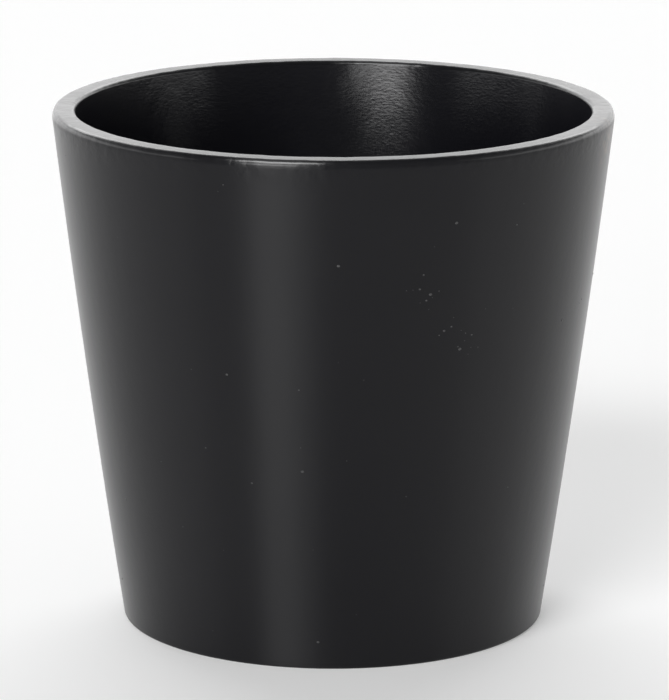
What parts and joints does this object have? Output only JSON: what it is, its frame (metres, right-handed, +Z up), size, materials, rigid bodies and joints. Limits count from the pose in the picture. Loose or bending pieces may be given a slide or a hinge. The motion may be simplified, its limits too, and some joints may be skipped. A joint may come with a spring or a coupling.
{
  "type": "empty candle jar",
  "caption": "Empty tapered candle jar: an open-topped clay cup with a satin black coat outside and over the rim, and a glossier black liner inside.",
  "frame": {"origin": "on the jar's axis, in the plane of the table that it stands on", "axes": "+Z up along the jar's axis, out of its mouth; the jar is round, so +X and +Y are any two horizontal directions square to each other"},
  "size_m": [0.129, 0.129, 0.12],
  "materials": {
    "fired_clay": "bare fired earthenware, matt and slightly gritty",
    "satin_coat": "satin black coat, smooth with a few pinholes and dust specks",
    "liner_coat": "glossier black coat with a fine orange-peel grain"
  },
  "bodies": {
    "root": {"clay_body": "fired_clay", "outer_coat": "satin_coat", "liner_coat": "liner_coat"}
  },
  "joints": []
}
